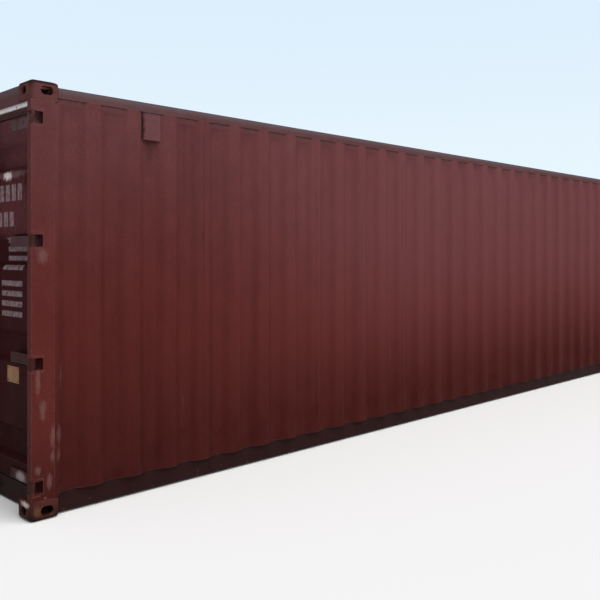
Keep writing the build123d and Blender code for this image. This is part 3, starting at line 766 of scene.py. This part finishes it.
for side, sign in sides:
    wall = run_tree(corrugated_sheet, side + "_wall_sheets", thickness=wall_sheet, **side_sizes)
    start = Matrix.Translation((wall_first[0], wall_plane, wall_first[2]))
    turn_to(wall, Matrix.Diagonal((1.0, sign, 1.0, 1.0)) @ start)
    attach(wall, "container")
    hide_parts(side + "_side_wall")

# Wall seams and sealant
# A weld bead runs up the crest where two pressed sheets meet.
# A bead of dark sealant follows the lower edge of each wall along its rail.


def bead_tree():
    """Round bead along the edges of a mesh, with a slightly uneven line."""
    tree, given, result = geometry_group(
        "bead", [("Geometry", "shape"), ("Radius", "size"), ("Unevenness", "size"), ("Finish", "finish")]
    )
    line = place(tree, "GeometryNodeMeshToCurve", {0: given["Geometry"]}).outputs[0]
    even_steps = {"Curve": line, "Length": 0.05}
    line = place(tree, "GeometryNodeResampleCurve", even_steps, mode="LENGTH").outputs[0]
    noise = place(tree, "ShaderNodeTexNoise", {"Scale": 9.0, "Detail": 2.0}).outputs[1]
    centred = vector_calc(tree, "SUBTRACT", noise, (0.5, 0.5, 0.5))
    wander = place(
        tree,
        "ShaderNodeVectorMath",
        {0: centred, "Scale": given["Unevenness"]},
        operation="SCALE",
    ).outputs[0]
    line = place(tree, "GeometryNodeSetPosition", {"Geometry": line, "Offset": wander}).outputs[0]
    circle = {"Resolution": 6, "Radius": given["Radius"]}
    ring = place(tree, "GeometryNodeCurvePrimitiveCircle", circle).outputs[0]
    tube = place(
        tree,
        "GeometryNodeCurveToMesh",
        {"Curve": line, "Profile Curve": ring, "Fill Caps": True},
    ).outputs[0]
    end_tree(tree, result, tube, given["Finish"])
    return tree


def lines_mesh(name, lines):
    """Mesh of open lines, each a list of points."""
    points = []
    edges = []
    for line in lines:
        edges += [(len(points) + step, len(points) + step + 1) for step in range(len(line) - 1)]
        points += line
    mesh = bpy.data.meshes.new(name)
    mesh.from_pydata(points, edges, [])
    return mesh


bead = bead_tree()
sealant = painted_steel(
    "sealant",
    Paint=(0.050, 0.0190, 0.0165, 1.0),
    Grime=(0.030, 0.0100, 0.0085, 1.0),
    **{"Rust Share": 0.3, "Grime High": 0.3},
)
bead_radius = 0.003
bead_sink = 0.4 * bead_radius
seam_step = 0.1
seam_points = 23
sheet_valleys = 4
sealant_level = wall_first[2] + wall_lift
valley_corners = ((-0.5, 0.0), (-0.5, 1.0), (0.5, 1.0), (0.5, 0.0))
for side, sign in sides:
    seams = []
    for index in range(sheet_valleys, side_valleys, sheet_valleys):
        seam_x = rear + side_end_margin + side_pitch * (index - 0.5)
        seam_y = sign * (wall_plane + bead_sink)
        heights = [wall_first[2] + seam_step * step for step in range(1, seam_points + 1)]
        seams.append([(seam_x, seam_y, height) for height in heights])
    welds = run_tree(
        bead,
        side + "_wall_welds",
        base=lines_mesh(side + "_weld_lines", seams),
        Radius=bead_radius,
        Unevenness=0.002,
        Finish=wall_paint,
    )
    lower_edge = []
    for index in range(side_valleys):
        valley_x = rear + side_end_margin + side_pitch * index
        for aside, behind in valley_corners:
            valley_width = side_flat + (2 * side_slope if behind == 0.0 else 0.0)
            edge_y = sign * (wall_plane + behind * side_depth)
            lower_edge.append((valley_x + aside * valley_width, edge_y, sealant_level))
    sealing = run_tree(
        bead,
        side + "_wall_sealant",
        base=lines_mesh(side + "_sealant_line", [lower_edge]),
        Radius=bead_radius,
        Unevenness=0.003,
        Finish=sealant,
    )
    for piece in (welds, sealing):
        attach(piece, "container")

# Ventilators
# Hooded pressed covers fixed under the roof rail, one in each side wall, and painted over.
# Their ends are painted dark as shade.
vent_first, vent_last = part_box("ventilators")
vent_middle = 0.5 * (vent_first[2] + vent_last[2])
vent_inset = 0.004
vent_end_half = (0.024, 0.06, 0.16)
# Painted shade: dark patches at both ends of each cover.
vent_end_shade = [
    ((vent_first[0] + vent_inset, vent_first[1], vent_middle), vent_end_half),
    ((vent_last[0] - vent_inset, vent_last[1], vent_middle), vent_end_half),
]
vent_paint = painted_steel(
    "vent_paint",
    marks=[((0.020, 0.0070, 0.0060, 1.0), 0.9, vent_end_shade)],
    Paint=(0.090, 0.0240, 0.0220, 1.0),
    Chalk=(0.128, 0.0500, 0.0530, 1.0),
    **{"Rust Share": 0.6},
)
vent_tree = vent_paint.node_tree
# Painted shade: the faces that look along the wall are painted dark.
vent_sideways = split(vent_tree, coordinates(vent_tree, "Normal"))["X"]
vent_side_shade = ramp(vent_tree, calc(vent_tree, "ABSOLUTE", vent_sideways), 0.2, 0.7)
overlay(vent_paint, vent_side_shade, (0.016, 0.0050, 0.0045, 1.0))
dress(vent_paint, "ventilators")

# Front wall
# The blind end, pressed deeper and steeper than the sides and welded between the front posts.
# It wears the same paint as the side walls.
front_first, front_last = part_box("front_wall")
front_valleys = 8
front_end_margin = 0.264
front_width = front_last[1] - front_first[1]
casting_width = 0.162
front_sheet = run_tree(
    corrugated_sheet,
    "front_wall_sheets",
    thickness=wall_sheet,
    **{
        "Length": front_width,
        "Height": front_last[2] - front_first[2],
        "Columns": 400,
        "Rows": 15,
        "First Valley": front_end_margin,
        "Pitch": (front_width - 2 * front_end_margin) / (front_valleys - 1),
        "Valleys": front_valleys,
        "Valley Flat": 0.110,
        "Slope": 0.018,
        "Depth": 0.045,
        "Buckle": 0.006,
        "Notch Length": front_last[1] - left + casting_width,
        "Notch Height": rail_bottom - post_top,
        "Finish": wall_paint,
    },
)
front_place = Matrix.Translation((front_last[0], front_first[1], front_first[2]))
turn_to(front_sheet, front_place @ Matrix.Rotation(math.radians(90), 4, "Z"))
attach(front_sheet, "container")
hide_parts("front_wall")

# Roof
# One long sheet with ribs pressed up across it, and a doubler plate beside each top casting.
# Rain and dust leave it paler and rustier than the walls.
roof_paint = painted_steel(
    "roof_paint",
    bare=(0.13, 0.080, 0.076, 1.0),
    edge_share=0.6,
    relief=0.004,
    Paint=(0.085, 0.030, 0.028, 1.0),
    **{"Rust Share": 1.1, "Chalk Low": 1.5, "Chalk High": 2.5, "Streaks": 0.5},
)
dress(roof_paint, "roof_panel", "roof_corner_plates")

# Doors
# Two leaves of square tube round a panel with broad swages, sealed all round by a rubber gasket.
# Their paint is darkened as painted shade, dulled by dirt, with faded pale bars on the right-hand leaf.
# Painted shade: the door paint is far darker than the walls' to stand in for the shade over the door end.
door_paint = painted_steel(
    "door_paint",
    bare=(0.075, 0.044, 0.040, 1.0),
    edge_share=0.4,
    gloss=0.02,
    Paint=(0.036, 0.0062, 0.0068, 1.0),
    Chalk=(0.150, 0.0560, 0.0620, 1.0),
    Grime=(0.019, 0.0040, 0.0040, 1.0),
    Rust=(0.046, 0.0190, 0.0125, 1.0),
    **{"Rust Share": 0.6, "Streaks": 0.5, "Chalk Low": 2.10, "Chalk High": 2.45},
)


def outer_face(tree, share):
    """Share of a mark on the faces that look out of the closed doors, with none inside."""
    blend = 0.05
    inward = split(tree, coordinates(tree, "Normal"))["X"]
    return ramp(tree, inward, blend, -blend, 0.0, share)


faded_panel = ((rear + 0.090, -0.800, 1.850), (0.10, 0.600, 0.340))
faded_top = ((rear + 0.090, -0.800, 2.170), (0.10, 0.500, 0.130))
# Painted light on the top swage's ledge: a paler band for its lit face and a near-white painted highlight.
ledge_light = ((rear + 0.095, -0.760, 2.070), (0.04, 0.340, 0.036))
ledge_highlight = ((rear + 0.095, -0.715, 2.065), (0.04, 0.090, 0.042))
door_marks = [
    ((0.100, 0.0280, 0.0320, 1.0), 0.8, faded_panel),
    ((0.105, 0.0340, 0.0380, 1.0), 0.8, faded_top),
    ((0.150, 0.088, 0.096, 1.0), 0.8, ledge_light),
    ((0.70, 0.56, 0.56, 1.0), 1.0, ledge_highlight),
]
for mark_colour, share, patch in door_marks:
    wear(door_paint, mark_colour, outer_face(door_paint.node_tree, share), [patch])
dress(door_paint, "right_door_frame", "left_door_frame", "left_door_panel")


def faded_bars_group(bars):
    """Mask of faded bars on the door, each given by its lower and upper Z and its two Y ends."""
    group, given, result = shader_group("faded_bars", [("Share", "value")], [("Mask", "value")])
    where = coordinates(group)
    spot = split(group, where)
    soft = 0.006
    total = 0.0
    for low, high, outer, inner in bars:
        inside = product(
            group,
            ramp(group, spot["Z"], low, low + soft),
            ramp(group, spot["Z"], high, high - soft),
            ramp(group, spot["Y"], outer, outer + soft),
            ramp(group, spot["Y"], inner, inner - soft),
        )
        total = calc(group, "MAXIMUM", inside, total)
    worn = ramp(group, clouds(group, where, 30.0, 6.0, 0.7), 0.30, 0.62, 0.25, 1.0)
    fill(group, result["Mask"], product(group, total, worn, given["Share"]))
    return group


dash_pitch = 0.085
dash_width = 0.065
dash_rows = ((1.900, 2.010, -0.915, 7), (1.740, 1.838, -0.800, 5))
line_blocks = ((1.640, 1.676, 0.058, -0.930, -0.640), (1.364, 1.404, 0.064, -0.920, -0.620))
lines_in_block = 4
faded_bars = []
for low, high, first_end, dashes in dash_rows:
    for step in range(dashes):
        outer_end = first_end + dash_pitch * step
        faded_bars.append((low, high, outer_end, outer_end + dash_width))
for low, high, line_pitch, outer_end, inner_end in line_blocks:
    for row in range(lines_in_block):
        drop = line_pitch * row
        faded_bars.append((low - drop, high - drop, outer_end, inner_end))
marked_paint = door_paint.copy()
marked_paint.name = "marked_door_paint"
faded = place(
    marked_paint.node_tree,
    "ShaderNodeGroup",
    {"Share": outer_face(marked_paint.node_tree, 0.75)},
    node_tree=faded_bars_group(faded_bars),
)
overlay(marked_paint, faded.outputs["Mask"], (0.27, 0.20, 0.21, 1.0))
dress(marked_paint, "right_door_panel")
gasket_rubber = painted_steel(
    "gasket_rubber",
    Paint=(0.014, 0.014, 0.0145, 1.0),
    Chalk=(0.030, 0.029, 0.028, 1.0),
    Grime=(0.022, 0.019, 0.017, 1.0),
    Rust=(0.026, 0.022, 0.019, 1.0),
)
dress(gasket_rubber, "right_door_gasket", "left_door_gasket")

# Hinges and locking gear
# Forged lugs, pins and cranked blades at the posts; tubes with cams, guides and levers on the leaves.
# Handling rubs their paint through to rusty steel.
# Painted shade: the pins are near-black to stand in for the shade in the hinge pockets.
hinge_paint = painted_steel(
    "hinge_paint",
    bare=(0.090, 0.050, 0.040, 1.0),
    edge_reach=0.005,
    edge_share=0.5,
    relief=0.002,
    Paint=(0.026, 0.0072, 0.0062, 1.0),
    Chalk=(0.034, 0.0120, 0.0120, 1.0),
    Grime=(0.014, 0.0046, 0.0038, 1.0),
    **{"Rust Share": 1.0},
)
dress(hinge_paint, "hinge_pins")
dress(post_paint, "hinge_lugs")
blade_first, blade_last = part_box("right_hinge_blades")
hinges_on_door = 4
knuckle_half = 0.035
hinge_level = blade_first[2] + knuckle_half
hinge_pitch = (blade_last[2] - blade_first[2] - 2 * knuckle_half) / (hinges_on_door - 1)
hinge_inset = 0.020
knuckle_y = right + hinge_inset
knuckle_reach = (0.060, 0.050, 0.090)
# Painted shade: the blade knuckles are painted dark, standing in for the shade of the hinge pockets.
knuckle_shade = [
    ((rear + hinge_inset, sign * knuckle_y, hinge_level + hinge_pitch * index), knuckle_reach)
    for sign in (1.0, -1.0)
    for index in range(hinges_on_door)
]
pale_blade = ((rear + 0.078, -0.920, hinge_level - 0.005), (0.03, 0.100, 0.050))
blade_paint = painted_steel(
    "blade_paint",
    bare=(0.16, 0.105, 0.095, 1.0),
    edge_reach=0.005,
    edge_share=0.8,
    relief=0.002,
    marks=[
        ((0.040, 0.0120, 0.0105, 1.0), 1.0, knuckle_shade),
        ((0.33, 0.27, 0.27, 1.0), 0.8, [pale_blade]),
    ],
    Paint=(0.046, 0.0130, 0.0125, 1.0),
    Chalk=(0.140, 0.0800, 0.0900, 1.0),
    Grime=(0.022, 0.0072, 0.0066, 1.0),
    **{"Rust Share": 0.9},
)
gear_paint = painted_steel(
    "gear_paint",
    bare=(0.17, 0.110, 0.090, 1.0),
    edge_reach=0.005,
    edge_share=0.8,
    relief=0.002,
    Paint=(0.050, 0.0125, 0.0115, 1.0),
    Chalk=(0.080, 0.0330, 0.0350, 1.0),
    Grime=(0.022, 0.0065, 0.0058, 1.0),
    **{"Rust Share": 1.0},
)
dress(gear_paint, "cam_keepers")
for side in ("right", "left"):
    dress(blade_paint, side + "_hinge_blades")
    for gear in ("locking_bars", "bar_guides", "door_handles", "handle_catches"):
        dress(gear_paint, side + "_" + gear)

# Data plate and fasteners
# A bare tan plate is riveted to the right-hand leaf, and bolts hold the bar guides to both leaves.
# The bolts and rivets wear the paint of the gear.


def fastener_tree():
    """Headed fastener on a washer at every vertex of a mesh, with its axis along X."""
    tree, given, result = geometry_group(
        "fasteners",
        [
            ("Geometry", "shape"),
            ("Radius", "size"),
            ("Height", "size"),
            ("Sides", "count"),
            ("Finish", "finish"),
        ],
    )
    head = place(
        tree,
        "GeometryNodeMeshCylinder",
        {"Vertices": given["Sides"], "Radius": given["Radius"], "Depth": given["Height"]},
    ).outputs[0]
    washer_spread = 1.6
    washer_height = 0.4
    washer = place(
        tree,
        "GeometryNodeMeshCylinder",
        {
            "Vertices": 16,
            "Radius": product(tree, given["Radius"], washer_spread),
            "Depth": product(tree, given["Height"], washer_height),
        },
    ).outputs[0]
    both = place(tree, "GeometryNodeJoinGeometry")
    tree.links.new(head, both.inputs[0])
    tree.links.new(washer, both.inputs[0])
    outward = (0.0, math.radians(-90), 0.0)
    spots = place(
        tree,
        "GeometryNodeInstanceOnPoints",
        {"Points": given["Geometry"], "Instance": both.outputs[0], "Rotation": outward},
    ).outputs[0]
    end_tree(tree, result, spots, given["Finish"], smooth=False)
    return tree


def box_mesh(name, low, high):
    """Plain box between two corners."""
    corners = [(x, y, z) for x in (low[0], high[0]) for y in (low[1], high[1]) for z in (low[2], high[2])]
    faces = [(0, 1, 3, 2), (4, 6, 7, 5), (0, 4, 5, 1), (2, 3, 7, 6), (0, 2, 6, 4), (1, 5, 7, 3)]
    mesh = bpy.data.meshes.new(name)
    mesh.from_pydata(corners, [], faces)
    return mesh


fasteners = fastener_tree()
door_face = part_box("right_door_frame")[0][0]
plate_thickness = 0.002
plate_low = (door_face - plate_thickness, -0.872, 0.762)
plate_high = (door_face, -0.710, 0.864)
plate_paint = painted_steel(
    "plate_paint",
    Paint=(0.265, 0.145, 0.075, 1.0),
    Grime=(0.20, 0.115, 0.050, 1.0),
    **{"Rust Share": 0.7, "Grime High": 1.0},
)
plate = bpy.data.objects.new("data_plate", box_mesh("data_plate", plate_low, plate_high))
plate.data.materials.append(plate_paint)
scene.collection.objects.link(plate)
rivet_inset = 0.012
rivets = [
    [(plate_low[0], y, z)]
    for y in (plate_low[1] + rivet_inset, plate_high[1] - rivet_inset)
    for z in (plate_low[2] + rivet_inset, plate_high[2] - rivet_inset)
]
plate_rivets = run_tree(
    fasteners,
    "plate_rivets",
    base=lines_mesh("rivet_spots", rivets),
    Radius=0.004,
    Height=0.003,
    Sides=12,
    Finish=gear_paint,
)
for piece in (plate, plate_rivets):
    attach(piece, "right_door")
bar_first, bar_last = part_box("right_locking_bars")
guide_first, guide_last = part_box("right_bar_guides")
cam_half = 0.030
guide_half = 0.030
guide_plate = 0.005
bolt_aside = 0.040
panel_flats = [0.690, 1.890]
bar_lines = (bar_first[1] + cam_half, bar_last[1] - cam_half)
guide_levels = [guide_first[2] + guide_half, *panel_flats, guide_last[2] - guide_half]
bolt_spots = [
    (door_face - guide_plate, line + aside, level)
    for line in bar_lines
    for level in guide_levels
    for aside in (-bolt_aside, bolt_aside)
]
for side, sign in sides:
    bolts = run_tree(
        fasteners,
        side + "_guide_bolts",
        base=lines_mesh(side + "_bolt_spots", [[(x, sign * y, z)] for x, y, z in bolt_spots]),
        Radius=0.009,
        Height=0.012,
        Sides=6,
        Finish=gear_paint,
    )
    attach(bolts, side + "_door")

# Studio
# A pale floor, a broad soft key light from above the right-hand side, a dim sky and the camera.
floor_reach = 120.0
floor_mesh = bpy.data.meshes.new("studio_floor")
floor_corners = [
    (-floor_reach, -floor_reach, 0.0),
    (floor_reach, -floor_reach, 0.0),
    (floor_reach, floor_reach, 0.0),
    (-floor_reach, floor_reach, 0.0),
]
floor_mesh.from_pydata(floor_corners, [], [(0, 1, 2, 3)])
floor_material = bpy.data.materials.new("studio_floor")
floor_material.use_nodes = True
floor_surface = floor_material.node_tree.nodes["Principled BSDF"]
floor_surface.inputs["Base Color"].default_value = (0.935, 0.92, 0.90, 1.0)
floor_surface.inputs["Roughness"].default_value = 0.9
floor_mesh.materials.append(floor_material)
studio_floor = bpy.data.objects.new("studio_floor", floor_mesh)
scene.collection.objects.link(studio_floor)

key_direction = Vector((0.02, 0.62, -0.78))
key = bpy.data.lights.new("key", "SUN")
key.energy = 3.15
key.angle = math.radians(70)
key_lamp = bpy.data.objects.new("key", key)
key_lamp.rotation_euler = key_direction.to_track_quat("-Z", "Y").to_euler()
scene.collection.objects.link(key_lamp)

sky = bpy.data.worlds.new("sky")
scene.world = sky
sky.use_nodes = True
sky_tree = sky.node_tree
backdrop = sky_tree.nodes["Background"]
seen = place(sky_tree, "ShaderNodeLightPath").outputs["Is Camera Ray"]
upward = split(sky_tree, coordinates(sky_tree))["Z"]
low_sky = (0.81, 0.92, 0.99, 1.0)
high_sky = (0.72, 0.86, 0.98, 1.0)
sky_light = (0.80, 0.88, 1.0, 1.0)
haze = tint(sky_tree, ramp(sky_tree, upward, 0.06, 0.34), low_sky, high_sky)
fill(sky_tree, backdrop.inputs["Color"], tint(sky_tree, seen, sky_light, haze))
fill(sky_tree, backdrop.inputs["Strength"], ramp(sky_tree, seen, 0.0, 1.0, 0.28, 1.0))

eye_back = 1.965
eye_aside = 4.179
eye_height = 1.560
eye_turn = math.radians(45.04 - 90.0)
camera = bpy.data.cameras.new("camera")
camera.lens = 45.0
camera.sensor_width = 36.0
camera.shift_y = -0.0743
camera.clip_end = 400.0
eye = bpy.data.objects.new("camera", camera)
eye.location = (rear - eye_back, right - eye_aside, eye_height)
eye.rotation_euler = (math.radians(90), 0.0, eye_turn)
scene.collection.objects.link(eye)
scene.camera = eye
scene.view_settings.view_transform = "Standard"
